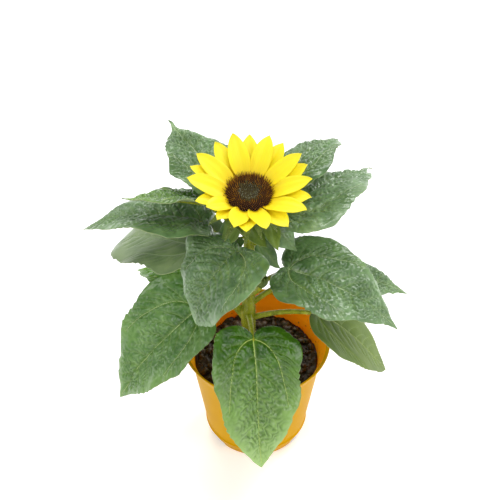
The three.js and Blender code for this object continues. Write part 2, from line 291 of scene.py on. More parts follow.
print("a ripple from", ripple(np.arange(50.0), 0, 12, 1).min().round(2), "up")

# %% [markdown]
# ## The leaf's plan
# A sunflower leaf is heart-shaped, with lobes beside the stalk, shallow teeth and a drawn-out tip. Three
# strong veins start at the stalk, and finer ones leave them in curves. The blade bulges up between the
# veins, so it looks quilted. The plan below is flat and in millimetres. Its relief is a height above that
# plane.

# %% How each leaf is held
# A posture is the stalk's rise and arch, then the blade's pitch and its droop to the tip, all in degrees.
POSTURES = {
    "hanging": (20, 15, -35, 30),
    "spreading": (35, 10, -10, 25),
    "arching": (45, 10, 0, 40),
    "nodding": (45, 10, -10, 80),
    "bowed": (35, 5, 15, 50),
    "raised": (35, 5, 15, 20),
}
BLADE_SHARE = 0.8  # a blade's width for each mm of its length


def posed(posture, height, stalk_bearing, reach, bearing, roll, fold, length, width=None):
    """A leaf's stalk (height, bearing, rise, reach, arch) and blade (bearing, pitch, droop, roll, fold,
    length, width).

    Height, reach, length and width are in mm, and the rest in degrees."""
    rise, arch, pitch, droop = POSTURES[posture]
    blade = (bearing, pitch, droop, roll, fold, length, width or BLADE_SHARE * length)
    return (height, stalk_bearing, rise, reach, arch), blade


# Steps of 5 mm and 5 degrees, as in the solids. The last word is the leaf's finish.
LEAVES = {
    "right_low": (*posed("hanging", 125, 345, 60, 0, 0, 5, 90), "pale"),
    "back_left_low": (*posed("spreading", 120, 150, 50, 145, 10, 10, 75), "bright"),
    "front_low": (*posed("hanging", 130, 275, 45, 275, -25, 10, 100), "fresh"),
    "left_low": (*posed("hanging", 135, 200, 45, 200, -15, 20, 105), "mild"),
    "right_back": (*posed("spreading", 140, 5, 60, 5, 0, 5, 85, 60), "grey"),
    "right_front": (*posed("arching", 155, 345, 45, 340, 0, 10, 95, 80), "grey"),
    "left_under": (*posed("spreading", 165, 165, 50, 145, -5, 5, 90), "hazy"),
    "front": (*posed("nodding", 195, 250, 35, 220, 15, 5, 70, 95), "grey"),
    "left": (*posed("bowed", 185, 155, 50, 175, 15, 10, 95), "grey"),
    "back": (*posed("spreading", 200, 90, 40, 95, 0, 10, 85, 60), "grey"),
    "right": (*posed("bowed", 205, 20, 35, 45, -20, 0, 105), "silver"),
    "left_back": (*posed("raised", 210, 160, 45, 185, 30, 10, 60, 60), "fresh"),
    "back_left": (*posed("raised", 220, 130, 40, 125, 5, 5, 75), "grey"),
    "back_right": (*posed("bowed", 220, 40, 45, 60, -25, 5, 80), "grey"),
}
YOUNG_LEAVES = {
    "front": (*posed("spreading", 225, 250, 10, 310, 0, 15, 25), "pale"),
    "right": (*posed("spreading", 220, 335, 20, 285, 0, 20, 25, 15), "pale"),
    "left": (*posed("hanging", 225, 215, 10, 220, 10, 20, 25), "pale"),
    "far_right": (*posed("hanging", 225, 350, 15, 340, 15, 10, 35), "grey"),
    "mid_right": (*posed("hanging", 205, 325, 10, 335, 0, 10, 25), "grey"),
    "mid_left": (*posed("hanging", 210, 200, 10, 215, 0, 10, 25), "grey"),
    "far_left": (*posed("hanging", 220, 190, 10, 195, -10, 10, 25), "grey"),
}
# What sets single blades apart: mm the tip turns sideways, mm it lifts, depth in mm of the margin's
# waves, degrees of twist, how full the blade is before its tip (0.05 is slim, 0.3 is blunt), how strongly
# it is puckered, mm of its drip tip, and by what share its right half is wider than in the solid.
Habit = namedtuple("Habit", "turn lift wave twist fullness pucker drip wider", defaults=(0, 0))
HABITS = {
    "right_low": Habit(2, 1, 0.8, 0, 0.22, 0.05),
    "front_low": Habit(0, 2, 1.8, 0, 0.31, 1.0, 1),
    "left_low": Habit(-2, 0, 1.4, 4, 0.17, 1.1, 1),
    "back_left_low": Habit(0, 1, 1.6, 0, 0.16, 0.8, 2),
    "right_front": Habit(-2, 1, 2.0, -4, 0.18, 1.2, 2),
    "right_back": Habit(-3, 3, 3.4, 10, 0.04, 1.2),
    "left_under": Habit(3, -3, 2.6, 0, 0.56, 0.1),
    "left": Habit(2, 2, 2.8, 6, 0.20, 1.2, 1),
    "front": Habit(0, 1, 2.6, 0, 0.22, 1.3),
    "back": Habit(0, 1, 1.8, 0, 0.16, 1.0, 3),
    "right": Habit(3, 5, 2.0, -8, 0.10, 1.3, 7, 0.05),
    "left_back": Habit(0, 2, 2.4, 0, 0.16, 1.0, 3),
    "back_left": Habit(-3, 3, 2.4, 0, 0.14, 1.3, 6),
    "back_right": Habit(3, 2, 1.8, 0, 0.18, 1.1, 2),
    "young": Habit(1, 2, 0.8, 0, 0.14, 0.5),
}
print(len(LEAVES), "leaves, the longest", max(blade[5] for _, blade, _ in LEAVES.values()), "mm")

# %% The outline
TOOTH_WIDTH = 5.5  # mm of margin for each tooth, or so


def outline(q, length, width, seed, habit):
    """Length along the midrib and half width, in mm, of the margin. q runs from stalk (0) to tip (1)."""
    beside_stalk = q < 0.5
    t = np.where(beside_stalk, q * 2, q * 2 - 1)
    s = np.where(beside_stalk, bezier(t, 0, -0.16, -0.16, 0.22), bezier(t, 0.22, 0.52, 0.82, 1))
    w = np.where(beside_stalk, bezier(t, 0, 0.03, 0.5, 0.5), bezier(t, 0.5, 0.52, habit.fullness, 0))
    way = q * 1.25 * length / TOOTH_WIDTH + 0.6 * np.sin(q * 19 + seed)
    tooth = np.sin(math.tau * way + 0.7 * np.sin(math.tau * way))
    depth = (0.002 + 0.003 * habit.wave) * length * (0.6 + 0.4 * np.sin(q * 31 + seed * 2))
    depth = depth * np.clip(q * 6, 0, 1) * np.clip((1 - q) * 7, 0, 1)
    uneven = 0.018 * np.sin(q * 8.5 + seed * 1.7) + 0.018 * np.sin(q * 29 + seed)
    uneven = uneven * width * np.sin(math.pi * q)
    end = np.clip((q - 0.87) / 0.13, 0, 1)  # the drip tip: the last bit is drawn out and narrow
    slim = 1 - 0.5 * np.sin(math.pi * end) * min(1, habit.drip / 5)
    return s * length + habit.drip * end**2, (w * width + depth * tooth + uneven) * slim


def plan(u, v, length, width, seed, habit):
    """Where the grid's points lie on the flat blade: x mm to the left of the midrib and y mm along it."""
    # More rows lie beyond the lobes, where the midrib runs.
    q = np.where(u < 0.3, u / 0.6, 0.5 + (u - 0.3) / 1.4)
    y_left, x_left = outline(q, length, width, seed, habit)
    y_right, x_right = outline(q, length, width * (1 + habit.wider), seed + 3.1, habit)
    y_edge, x_edge = np.where(v > 0, y_left, y_right), np.where(v > 0, x_left, x_right)
    root = np.maximum(0, y_edge - 0.6 * x_edge)
    root = np.where(q > 0.999, length, root)
    return x_edge * v, root + (y_edge - root) * np.abs(v)


# %% The veins
def vein_lines(length, width):
    """The main veins as (points, breadth at the root in mm, strength). The sides are alike, not mirrored."""
    chance = random.Random(round(length * 31 + width))
    t = np.linspace(0, 1, 14)[:, None]
    lines = [(np.hstack([0.6 * np.sin(t * 7), length * 0.97 * t]), 0.55, 1.0)]
    for side in (-1, 1):
        # The basal vein sets out sideways, then turns forward.
        bend = side * width * (0.30 + chance.uniform(-0.03, 0.03))
        basal_x = bend * (1 - np.exp(-3.2 * t)) + side * 0.05 * width * t
        basal = np.hstack([basal_x, length * (0.12 * t + 0.42 * t**1.5)])
        lines.append((basal, 0.40, 0.85))
        lobe = basal[2]
        out = side * 0.5 * width - lobe[0]
        lines.append((lobe + np.hstack([0.8 * out * t, length * (0.02 * t + 0.04 * t**3)]), 0.18, 0.5))
        ear_y = length * (0.01 - 0.07 * t + 0.06 * t**3)
        lines.append((np.hstack([side * 0.3 * width * t, ear_y]), 0.20, 0.5))
        for place in (0.3, 0.4, 0.5, 0.62, 0.74, 0.86, 0.97):  # branches on the outer side of the basal vein
            start = along_line(basal, place * (len(basal) - 1))
            reach = np.array([side * (0.5 * width - abs(start[0])) * 0.85, length * (0.10 + 0.08 * place)])
            lines.append((start + np.hstack([reach[0] * t, reach[1] * t**1.6]), 0.14, 0.5))
        for step in range(8):  # side veins of the midrib, curving on towards the tip
            root = length * (0.14 + 0.1 * step + chance.uniform(-0.015, 0.015) + (0.03 if side > 0 else 0))
            room = width * 0.5 * max(0.12, 1 - (root / length) ** 1.3) * (0.55 if step < 4 else 0.85)
            reach = np.array([side * room, length * (0.15 - 0.008 * step)])
            way = np.hstack([reach[0] * t**0.9, reach[1] * t**1.5])
            lines.append((np.array([0, root]) + way, 0.17, 0.6))
    return lines


def vein_fields(x, y, length, width):
    """How much each point is vein (0 to 1), how far from the nearest one, and how far along it, in mm."""
    vein, nearest, along = np.zeros(len(x)), np.full(len(x), 99.0), np.zeros(len(x))
    here = np.stack([x, y], 1)
    for number, (points, _, strength) in enumerate(vein_lines(length, width)):
        run = number * 17.3
        for k, (a, b) in enumerate(zip(points[:-1], points[1:])):
            step = math.dist(a, b)
            share = np.clip(((here - a) @ (b - a)) / max(step * step, 1e-9), 0, 1)
            gap = np.linalg.norm(here - a - share[:, None] * (b - a), axis=1)
            fade = 1 - 0.65 * k / (len(points) - 1)
            vein = np.maximum(vein, strength * fade * np.exp(-((gap / 1.1) ** 2)))
            judged = gap + 2.5 * (1 - strength * fade)
            closer = judged < nearest
            along = np.where(closer, run + share * step, along)
            nearest = np.where(closer, judged, nearest)
            run += step
    return vein, nearest, along


# %% The relief
RUNG_STEP, CELL_SIZE = 4.1, 5.0  # mm


def relief(x, y, v, length, width, seed, strength):
    """Height in mm above the plan, the vein mark, and a mark of the valleys between puckers and the cells'
    borders that darkens the leaf's colour as painted shade.

    The tissue swells between the veins. On top of that it forms rungs: short rounded ridges, which stand
    across each vein and slant forward, with irregular cells between them."""
    vein, nearest, along = vein_fields(x, y, length, width)
    calm = (1 - np.abs(v) ** 4) * np.clip((length - y) / (0.25 * length), 0, 1)
    quilt = 2.2 * (1 - np.exp(-((nearest / 2.8) ** 1.5)))
    wander = 2.6 * ripple(x, y, 13, seed + 5)
    rung = np.abs(np.sin(math.pi * (along - 0.55 * nearest + wander) / RUNG_STEP)) ** 0.8
    net_and_shade = cells(x + 1.2 * ripple(x, y, 9, seed), y + 1.2 * ripple(x, y, 9, seed + 1), CELL_SIZE, seed)
    close = np.clip(nearest / 2.2, 0, 1) * np.exp(-(((nearest - 2.2) / 6).clip(0) ** 2))
    patchy = 0.75 + 0.3 * ripple(x, y, 28, seed + 2)
    pucker = (1.7 * rung * close + 0.9 * net_and_shade * np.clip(nearest / 3, 0, 1)) * patchy
    height = (quilt * (0.15 + 0.85 * min(strength, 1)) + pucker * strength) * calm - 0.3 * vein
    height = height + (0.15 + 0.4 * strength) * ripple(x, y, 17, seed + 3)
    # Painted shade: the valleys between the rungs and the cells' borders darken the leaf's colour.
    valley_shade = (1 - rung) * close * strength * calm
    return height * min(1, length / 60), vein, np.clip(valley_shade + 0.4 * (1 - net_and_shade) * strength * calm, 0, 1)


leaf_test = relief(np.array([0.0, 12.0]), np.array([40.0, 40.0]), np.array([0.0, 0.3]), 100, 85, 1, 1)
print("height on the midrib and beside it, mm:", leaf_test[0].round(2))

# %% [markdown]
# ## The blade in space
# Each leaf stalk leaves the stem at its own height and bearing. The blade starts at the end of its stalk,
# at a pitch, and droops along its midrib. It rolls about the midrib and folds up along it. The fold is
# rounded, the margin waves, and the tip turns its own way.

# %% Places on the stem, in mm
HEAD_TILT = math.radians(11)
HEAD = np.array([-6.0, -1.2, 259.2])
HEAD_AXIS = np.array([0, -math.sin(HEAD_TILT), math.cos(HEAD_TILT)])
STEM_KNOTS = [(-5, 0, 80), (-6.5, 0.5, 130), (-5.5, 0.5, 190), HEAD - 31 * HEAD_AXIS, HEAD - 13 * HEAD_AXIS]


def smooth_line(knots, count):
    """A line through the knots, rounded at each one."""
    knots = np.asarray(knots, float)
    padded = np.vstack([2 * knots[0] - knots[1], knots, 2 * knots[-1] - knots[-2]])
    out = []
    for t in np.linspace(0, len(knots) - 1 - 1e-6, count):
        k, f = int(t), t - int(t)
        a, b, c, d = padded[k : k + 4]
        cubic = 2 * b + (c - a) * f
        cubic = cubic + (2 * a - 5 * b + 4 * c - d) * f**2 + (3 * b - a - 3 * c + d) * f**3
        out.append(0.5 * cubic)
    return np.array(out)


STEM_LINE = smooth_line(STEM_KNOTS, 60)


def on_stem(height):
    """The point of the stem's axis at a height."""
    return np.array([np.interp(height, STEM_LINE[:, 2], STEM_LINE[:, k]) for k in (0, 1)] + [height])


def aim(bearing, rise):
    """The direction with a bearing and a rise, both in degrees."""
    b, r = math.radians(bearing), math.radians(rise)
    return np.array([math.cos(b) * math.cos(r), math.sin(b) * math.cos(r), math.sin(r)])


def stalk_line(stalk):
    """The stalk's bend: where it leaves the stem, its shoulder and where the blade starts."""
    height, bearing, rise, reach, arch = stalk
    foot = on_stem(height)
    return foot, foot + 0.55 * reach * aim(bearing, rise + arch), foot + reach * aim(bearing, rise)


# %% From the flat plan to the row's frame
def on_blade(start, blade, habit, x, y, height):
    """Row-frame mm of points x mm left of the midrib, y mm along it and height mm above the blade.

    Only the first four numbers of the habit are read."""
    bearing, pitch, droop, roll, fold, length, width = blade
    turn, lift, wave, twist = habit[:4]
    along = np.clip(y / length, 0, 1.1)
    slope = np.radians(pitch) - np.radians(droop) * along
    forward = length * (math.sin(math.radians(pitch)) - np.sin(slope)) / math.radians(droop)
    up = length * (np.cos(slope) - math.cos(math.radians(pitch))) / math.radians(droop)
    b = math.radians(bearing)
    ahead = np.stack([math.cos(b) * np.cos(slope), math.sin(b) * np.cos(slope), np.sin(slope)], 1)
    level = np.array([-math.sin(b), math.cos(b), 0.0])
    above = np.cross(ahead, level)
    r = np.radians(roll + twist * (along - 0.4))[:, None]
    left = level * np.cos(r) + above * np.sin(r)
    above = above * np.cos(r) - level * np.sin(r)
    tip = np.clip((y / length - 0.72) / 0.28, 0, 1) ** 2
    x = x + turn * tip
    soft = np.sqrt(x * x + 9) - 3  # the fold's keel is rounded over about 3 mm
    edge = (np.abs(x) / (0.5 * width)) ** 2
    beat = np.sin(y / length * 11 + np.sign(x) * 1.3 + length)
    beat = beat * np.clip((length - y) / (0.25 * length), 0, 1)
    height = height + soft * math.sin(math.radians(fold)) + lift * tip + wave * edge * (beat - 0.35)
    place = start + np.stack([math.cos(b) * forward, math.sin(b) * forward, up], 1)
    place = place + ahead * np.minimum(y, 0)[:, None]
    place = place + left * x[:, None] * math.cos(math.radians(fold))
    return place + above * height[:, None]


print("the low front leaf starts at", stalk_line(LEAVES["front_low"][0])[2].round(), "mm")

# %% [markdown]
# ## Leaf finish
# A living leaf is a waxy skin over green tissue: a dielectric with an IOR near 1.4 and a broad, satin
# gloss. Old upper leaves look grey-green where fine hairs scatter the light, and shaded ones look fresh
# green. Veins are paler. The underside is paler too, and more matt. Fine puckers of 2 to 3 mm are drawn
# as bump, because the mesh is too coarse.

# %% Leaf materials
BLADE_MAP = 150  # mm of blade that one unit of its UV map covers


def leaf_material(name, deep, light, gloss, velvet, tip, paling, grit=0.5):
    """A leaf's upper skin, between a deep and a light tone. It pales towards the tip's tone by a share."""
    skin, shader = new_material(
        name,
        roughness=gloss,
        ior=1.45,
        coat_weight=0.3 * grit,  # the wax on top, which gives sharp glints
        coat_roughness=0.16,
        sheen_weight=velvet,
        sheen_roughness=0.4,
        sheen_tint=linear("#E4EEE2"),
    )
    flat = add_node(skin, "UVMap", uv_map="blade").outputs[0]
    tissue = ramp(skin, noise_field(skin, flat, BLADE_MAP / 18, 4), (0.36, deep), (0.66, light))
    down = add_node(skin, "SeparateXYZ", {0: flat}).outputs["Y"]
    far = add_node(skin, "MapRange", {0: down, 1: 0.25, 2: 0.85, 3: 0.0, 4: paling}).outputs[0]
    paled = mixed(skin, far, tissue, linear(tip))
    # Painted shade: the valleys between puckers are darkened towards the deep tone.
    valley_shaded = mixed(skin, scaled(skin, mark(skin, "net_and_shade"), 0.7), paled, linear(deep))
    ribbed = mixed(skin, scaled(skin, mark(skin, "vein"), 0.35), valley_shaded, linear("#9DB55C"))
    tiny = add_node(skin, "TexVoronoi", {"Vector": flat, "Scale": BLADE_MAP / 2.2}, feature="SMOOTH_F1")
    grain = noise_field(skin, flat, BLADE_MAP / 0.8, 3)
    rough = add_node(skin, "Math", {0: grain, 1: 0.3, 2: tiny.outputs[0]}, operation="MULTIPLY_ADD")
    dress(skin, shader, ribbed, rough.outputs[0], grit, 0.45, invert=True)
    return skin


def underside_material(name, tissue, vein):
    """A leaf's lower skin, pale and matt."""
    skin, shader = new_material(name, roughness=0.62, ior=1.4)
    ribbed = mixed(skin, mark(skin, "vein"), linear(tissue), linear(vein))
    skin.node_tree.links.new(ribbed, shader.inputs["Base Color"])
    return skin


# In the order deep, light, gloss, velvet, tip, paling and, where it is not 0.5, grit.
LEAF_TONES = {
    "grey": ("#3F6032", "#72945E", 0.24, 0.25, "#8FAA7C", 0.5),
    # Painted highlight: the upper right leaf's tones are a lighter grey-green than the other upper leaves',
    # for the glints it catches.
    "silver": ("#57764A", "#8AA67C", 0.25, 0.30, "#95AF88", 0.3),
    "fresh": ("#245000", "#4A7A08", 0.24, 0.0, "#A2C474", 0.95),
    # Painted light: the low back-left leaf's tones are a brighter green, for light that shines through it.
    "bright": ("#4C7C0C", "#62981A", 0.30, 0.0, "#6E9C2C", 0.3),
    "mild": ("#3F6A28", "#769A54", 0.26, 0.15, "#7A9F56", 0.5),
    "pale": ("#4E6816", "#647C22", 0.55, 0.0, "#6C8230", 0.5, 0.15),
    "hazy": ("#60774E", "#839768", 0.45, 0.25, "#8A9C76", 0.5, 0.15),
}
LEAF_SKINS = {name: leaf_material(f"leaf_skin_{name}_green", *tones) for name, tones in LEAF_TONES.items()}
UNDER_SKIN = underside_material("leaf_underside", "#8DA070", "#A9B884")
# Veins are pale and juicy. The first colour is that of the midrib and basal veins, the second that of
# finer ones.
VEIN_TONES = {
    "grey": ("#A6BA8C", "#6E9266"),
    "fresh": ("#B9CB6C", "#6B9A3C"),
    "bright": ("#9DB85C", "#6F9C34"),
    "silver": ("#B2C49C", "#88A478"),
    "mild": ("#ACC27C", "#7CA159"),
    "pale": ("#98A862", "#829954"),
    "hazy": ("#93A682", "#7D9270"),
}
VEIN_SKINS = {skin: [] for skin in VEIN_TONES}
for skin, tones in VEIN_TONES.items():
    for i, tone in enumerate(tones):
        VEIN_SKINS[skin].append(new_material(f"vein_{skin}_{i}", base_color=linear(tone), roughness=0.4)[0])
RIM_SKIN, _ = new_material("leaf_margin", base_color=linear("#93A06A"), roughness=0.5, ior=1.42)
print("leaf finishes:", sorted(LEAF_SKINS))


# %% Grow the leaves
def thicken(piece, thickness, downward=1.0, under_slot=0):
    """Gives a sheet its thickness in mm, all below its face (downward 1) or half to each side (downward 0).

    under_slot picks the material of its lower side, and twice that the one of its edge."""
    wall = piece.modifiers.new("thickness", "SOLIDIFY")
    wall.thickness, wall.offset = thickness * MM, -downward
    wall.material_offset = under_slot
    wall.material_offset_rim = 2 * under_slot
    return piece


def seed_of(name):
    """A number that differs from piece to piece."""
    return sum(map(ord, name)) % 97


def grow_leaf(name, stalk, blade, skin, habit, rows=176, columns=80, thickness=0.45):
    """One leaf blade as a sheet with teeth, veins and puckers."""
    length, width = blade[5:]
    seed = seed_of(name)
    start = stalk_line(stalk)[2]
    kept = {}

    def place(u, v):
        x, y = plan(u, v, length, width, seed, habit)
        height, kept["vein"], kept["net_and_shade"] = relief(x, y, v, length, width, seed, habit.pucker)
        kept["blade"] = np.stack([0.5 + x / BLADE_MAP, 0.2 + y / BLADE_MAP], 1)
        return on_blade(start, blade, habit, x, y, height)

    marks = {name: lambda u, v, name=name: kept[name] for name in ("vein", "net_and_shade", "blade")}
    piece = make_sheet(name, rows, columns, place, [LEAF_SKINS[skin], UNDER_SKIN, RIM_SKIN], **marks)
    return thicken(piece, thickness, under_slot=1)


def inside_margin(points, length, width, habit):
    """The first part of a vein, up to where it reaches the leaf's margin."""
    q = np.linspace(0.34, 1, 60)
    s, w = outline(q, length, width, 0, habit)
    beyond = np.abs(points[:, 0]) > 0.9 * np.interp(points[:, 1], s, w) - 0.4
    beyond &= points[:, 1] > s[0]
    return points[: int(np.argmax(beyond))] if beyond.any() else points


def grow_veins(name, leaf, stalk, blade, skin, habit):
    """The threads of the main veins, which lie in their grooves on the blade. Their section is round."""
    length, width = blade[5:]
    seed = seed_of(leaf)
    threads = bpy.data.curves.new(name, "CURVE")
    threads.dimensions, threads.bevel_depth, threads.bevel_resolution = "3D", MM, 1
    threads.use_fill_caps = True
    for finish in VEIN_SKINS[skin]:
        threads.materials.append(finish)
    for points, breadth, strength in vein_lines(length, width):
        if strength < 1:
            points = inside_margin(points, length, width, habit)
        if len(points) < 3:
            continue
        count = max(6, int(np.linalg.norm(np.diff(points, axis=0), axis=1).sum() / 1.6))
        spots = np.linspace(0, len(points) - 1, count)
        x, y = along_line(points, spots).T
        height = relief(x, y, 0 * x, length, width, seed, habit.pucker)[0] + 0.08
        line = threads.splines.new("POLY")
        line.points.add(count - 1)
        line.material_index = 0 if strength > 0.7 else 1
        for k, spot in enumerate(on_blade(stalk_line(stalk)[2], blade, habit, x, y, height)):
            line.points[k].co = (*(spot * MM), 1)
            line.points[k].radius = breadth * min(1, length / 60) * (1 - 0.75 * k / (count - 1))
    curve = add_object(name, threads)
    mesh = as_shown(curve)
    bpy.data.objects.remove(curve)
    return smooth_object(name, mesh)


for name, (stalk, blade, skin) in LEAVES.items():
    piece = grow_leaf(f"blade_{name}", stalk, blade, skin, HABITS[name])
    stand_for(piece, "leaf", f"leaf_{name}")
    veins = grow_veins(f"veins_{name}", f"blade_{name}", stalk, blade, skin, HABITS[name])
    stand_for(veins, "leaf")
print("faces in one blade:", len(piece.data.polygons))

# %% [markdown]
# ## Stem and stalks
# Both are ridged green limbs, thick where they join. A tube is rolled up from a sheet, so ridges and
# swellings are changes of radius. Each stalk runs on below its blade as the raised midrib, which tapers
# away towards the tip.


# %% Roll a sheet up into a limb
def grow_limb(name, line, radius, rows, sides, material, up=(0, 0, 1)):
    """A closed tube along a line. radius(share, angle) is in mm, and angle 90 degrees is its upper side."""
    line = np.asarray(line, float)

    def place(u, v):
        spot = u * (len(line) - 1)
        middle = along_line(line, spot)
        ahead = unit(along_line(np.gradient(line, axis=0), spot))
        across = unit(np.cross(ahead, np.array(up, float)))
        over = np.cross(across, ahead)
        angle = v * math.pi
        ends = np.sqrt(np.clip(np.minimum(u, 1 - u) * rows / 1.5, 0, 1))
        r = (radius(u, angle) * ends)[:, None]
        return middle + r * (across * np.cos(angle)[:, None] + over * np.sin(angle)[:, None])

    return make_sheet(name, rows, sides, place, [material])


# %% Stem finish: a juicy green skin with lengthwise ridges, glossy between its hairs
stem_skin, stem_shader = new_material("stem_skin", roughness=0.42, ior=1.42)
stem_place = add_node(stem_skin, "TexCoord").outputs["Object"]
stem_streaks = add_node(stem_skin, "Mapping", {"Vector": stem_place, "Scale": (1, 1, 0.2)}).outputs[0]
stem_tone = noise_field(stem_skin, stem_streaks, 1 / (3 * MM), 3)
stem_colour = ramp(stem_skin, stem_tone, (0.3, "#727C08"), (0.55, "#989F1C"), (0.75, "#B6BC40"))
dress(stem_skin, stem_shader, stem_colour, stem_tone, 0.4, 0.4)

# %% The stem
JOINTS_ON_STEM = [stalk[0] for stalk, _, _ in LEAVES.values()]


def stem_radius(u, angle):
    """The stem's radius in mm, with a swelling at each leaf and nine ridges."""
    height = along_line(STEM_LINE, u * (len(STEM_LINE) - 1))[:, 2]
    taper = np.interp(height, [80, 90, 140, 160, 235, 247], [6.6, 5.2, 5.1, 4.4, 3.7, 5.4])
    joints = sum(0.35 * np.exp(-(((height - h) / 4) ** 2)) for h in JOINTS_ON_STEM)
    ridges = 0.22 * np.cos(angle * 9 + 0.02 * height)
    return taper + joints + ridges


stem = grow_limb("stem_limb", STEM_LINE, stem_radius, 170, 54, stem_skin, up=(1, 0, 0))
stand_for(stem, "stem", "stem")
print("stem from", round(STEM_LINE[0, 2]), "to", round(STEM_LINE[-1, 2]), "mm")


# %% The leaf stalks
def grow_stalk(name, stalk, blade, habit, thick, thin):
    """A stalk that is grooved on top and carries on as the blade's midrib underneath."""
    foot, shoulder, start = stalk_line(stalk)
    t = np.linspace(0, 1, 16)[:, None]
    bend = (1 - t) ** 2 * foot + 2 * t * (1 - t) * shoulder + t * t * start
    rib_y = np.linspace(0.03, 0.75, 14) * blade[5]
    rib_depth = -0.45 - 1.35 * (1 - rib_y / (0.76 * blade[5])) ** 0.8
    rib = on_blade(start, blade, habit, 0 * rib_y, rib_y, rib_depth)
    line = np.vstack([bend[:-1], start - [0, 0, 1.0], rib])
    share = (len(bend) - 1) / (len(line) - 1)

    def radius(u, angle):
        along = u / share
        stalk_part = thick + (thin - thick) * along + 0.9 * np.exp(-along * 12)
        rib_part = thin * np.clip(1 - (u - share) / (1 - share), 0, 1) ** 0.8 * 0.75 + 0.12
        smooth = 1 / (1 + np.exp(-(along - 1.0) * 25))
        groove = 1 - 0.22 * np.exp(-(((angle - math.pi / 2) / 0.5) ** 2)) * (1 - smooth)
        return (stalk_part * (1 - smooth) + rib_part * smooth) * groove * (1 + 0.04 * np.cos(7 * angle))

    return grow_limb(name, line, radius, 110, 22, stem_skin)


for name, (stalk, blade, _) in LEAVES.items():
    thick, thin = (2.3, 1.7) if stalk[0] < 180 else (1.9, 1.3)  # stout below, slender above
    stand_for(grow_stalk(f"limb_{name}", stalk, blade, HABITS[name], thick, thin), "stem", f"stalk_{name}")
for name, (stalk, blade, skin) in YOUNG_LEAVES.items():
    piece = grow_leaf(f"young_blade_{name}", stalk, blade, skin, HABITS["young"], 50, 28, 0.35)
    stand_for(piece, "leaf", *({f"young_leaf_{name}"} & NODE_NAMES))
    stand_for(grow_stalk(f"young_limb_{name}", stalk, blade, HABITS["young"], 1.2, 0.8), "stem")
print("stalks:", len(LEAVES) + len(YOUNG_LEAVES))

# %% [markdown]
# ## The flower head
# A sunflower is a composite flower. Yellow ray petals stand round a disc of many small florets, and green
# bracts hold both from below. The head nods 11 degrees, so its pieces are placed in the head's own frame,
# with +Z out of the disc.


# %% The head's own frame
def from_head(points):
    """Row-frame mm of points given in the head's frame."""
    c, s = math.cos(HEAD_TILT), math.sin(HEAD_TILT)
    x, y, z = np.asarray(points, float).T
    return HEAD + np.stack([x, c * y - s * z, s * y + c * z], 1)


# %% Where the ray petals stand
# They stand evenly, each swayed a little, in an upper and a lower whorl. They are short where they curl
# at the front left and long at the front right. Sway and rise are in degrees, and length in mm.
PETAL_COUNT, PETAL_SWAY, PETAL_RISE, PETAL_LENGTH = 20, 3, 28, 31
UPPER_WHORL, LOWER_WHORL = -0.6, -3.4  # mm from the head's middle


def bump(bearing, middle, by, spread):
    """How much a bump centred on a bearing changes a petal's length, in mm."""
    return by * math.exp(-(((bearing - middle) / spread) ** 2))


def petal_posture(i):
    """Bearing and length of petal i, in degrees and mm."""
    bearing = 360 / PETAL_COUNT * i + PETAL_SWAY * math.sin(i * i)
    return bearing, PETAL_LENGTH - bump(bearing, 225, 10, 30) + bump(bearing, 320, 6, 15)


print(PETAL_COUNT, "petals, up to", round(max(petal_posture(i)[1] for i in range(PETAL_COUNT))), "mm long")

# %% Petal finish: a thin, silky yellow skin that lets light through, deeper where it joins the disc
petal_skin, petal_shader = new_material(
    "petal_skin",
    roughness=0.48,
    ior=1.38,
    subsurface_weight=0.25,
    subsurface_radius=(1.0, 0.8, 0.1),
    subsurface_scale=1.5 * MM,
)
petal_flat = add_node(petal_skin, "UVMap", uv_map="petal").outputs[0]
petal_way = add_node(petal_skin, "SeparateXYZ", {0: petal_flat}).outputs["Y"]
petal_stops = (0.0, "#E8BE00"), (0.12, "#EFD106"), (0.4, "#F7E318"), (1.0, "#FAEA30")
petal_colour = ramp(petal_skin, petal_way, *petal_stops)
petal_threads = add_node(petal_skin, "Mapping", {"Vector": petal_flat, "Scale": (26, 1.2, 1)}).outputs[0]
petal_grain = noise_field(petal_skin, petal_threads, 1.0, 3)
petal_lines = ramp(petal_skin, petal_grain, (0.35, "#E9C400"), (0.5, "#FFFFFF"))
petal_toned = mixed(petal_skin, 0.12, petal_colour, petal_lines, blend_type="MULTIPLY")
dress(petal_skin, petal_shader, petal_toned, petal_grain, 0.35, 0.4)


# %% The ray petals
def grow_petal(name, bearing, length, rise, roll, level, seed):
    """A ray petal: a narrow claw, a broad middle with lengthwise folds, and a point."""
    chance = random.Random(seed)
    width = 16.5 * chance.uniform(0.94, 1.05) * min(1, 0.6 + length / 75)
    sway, curl = chance.uniform(-1.2, 1.2), chance.uniform(-1.5, 1.5)
    length = length + 1.7  # the claw starts below the disc's rim
    b = math.radians(bearing)
    start = np.array([math.cos(b) * 17.2, math.sin(b) * 17.2, level])
    blade = (bearing, rise + 8, 16, roll, 4, length, width)

    def place(u, v):
        half = bezier(u, 0.28, 0.64, 0.50, 0.0) * width
        y = bezier(u, 0, 0.28, 0.84, 1) * length
        y = y + 0.04 * length * (1 - v * v) * (u - 0.5)
        x = v * half + sway * u * u
        grooves = 0.2 * np.cos(v * math.pi * 2.5 + seed) * np.sin(math.pi * np.clip(u * 1.1, 0, 1))
        channel = 1.3 * (np.abs(v) ** 2) * (1 - u) + 0.5 * np.abs(v) ** 1.5
        flutter = 0.5 * np.sin(u * 9 + seed) * np.abs(v) ** 2
        height = channel + grooves + flutter + curl * u**3
        return from_head(on_blade(start, blade, (0, 0, 0, 0), x, y, height))

    def texture(u, v):
        """Where the point lies in the petal's UV map."""
        return np.stack([0.5 + 0.45 * v, 0.02 + 0.96 * u], 1)

    return thicken(make_sheet(name, 44, 22, place, [petal_skin], petal=texture), 0.4, downward=0)


